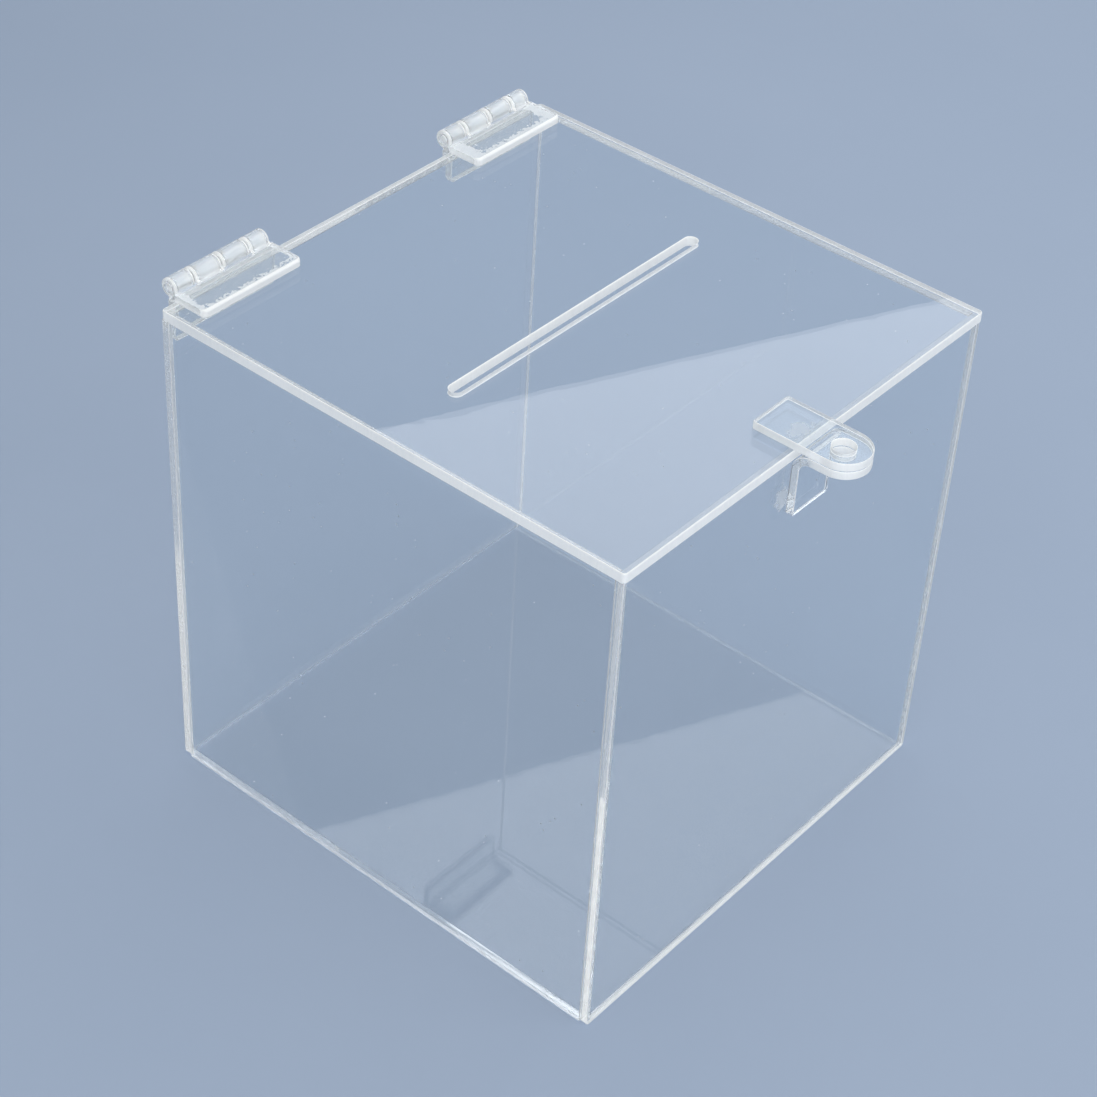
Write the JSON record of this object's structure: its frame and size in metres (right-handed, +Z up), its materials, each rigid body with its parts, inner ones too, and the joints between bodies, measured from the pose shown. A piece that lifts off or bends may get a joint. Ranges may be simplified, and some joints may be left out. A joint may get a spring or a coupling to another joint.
{
  "type": "acrylic card box",
  "caption": "Clear acrylic card box: cemented walls and base, a hinged lid with a round-ended card slot, and a hasp at the front for a padlock.",
  "frame": {"origin": "centre of the base's underside, where the box stands", "axes": "+Z up, -Y towards the hasp at the front, +Y towards the hinges, +X to the right seen from the front"},
  "size_m": [0.195, 0.2292, 0.211],
  "materials": {
    "clear_sheet": "clear acrylic sheet, polished faces and sawn white edges",
    "hinge_moulding": "clear moulded plastic, lightly frosted",
    "pin_rod": "clear plastic rod",
    "hasp_sheet": "clear acrylic sheet, cut and bent"
  },
  "bodies": {
    "box": {"bottom_panel": "clear_sheet", "front_panel": "clear_sheet", "back_panel": "clear_sheet", "left_panel": "clear_sheet", "right_panel": "clear_sheet", "hinge_left_wall_leaf": "hinge_moulding", "hinge_left_pin": "pin_rod", "hinge_right_wall_leaf": "hinge_moulding", "hinge_right_pin": "pin_rod", "hasp_bracket": "hasp_sheet"},
    "lid": {"lid_panel": "clear_sheet", "hinge_left_lid_leaf": "hinge_moulding", "hinge_right_lid_leaf": "hinge_moulding", "hasp_lid_tab": "hasp_sheet"}
  },
  "joints": [
    {"name": "lid_hinge", "type": "hinge", "parent": "box", "child": "lid", "pos_m": [0, 0.1035, 0.2075], "axis": [-1, 0, 0], "range_deg": [0, 245]}
  ]
}
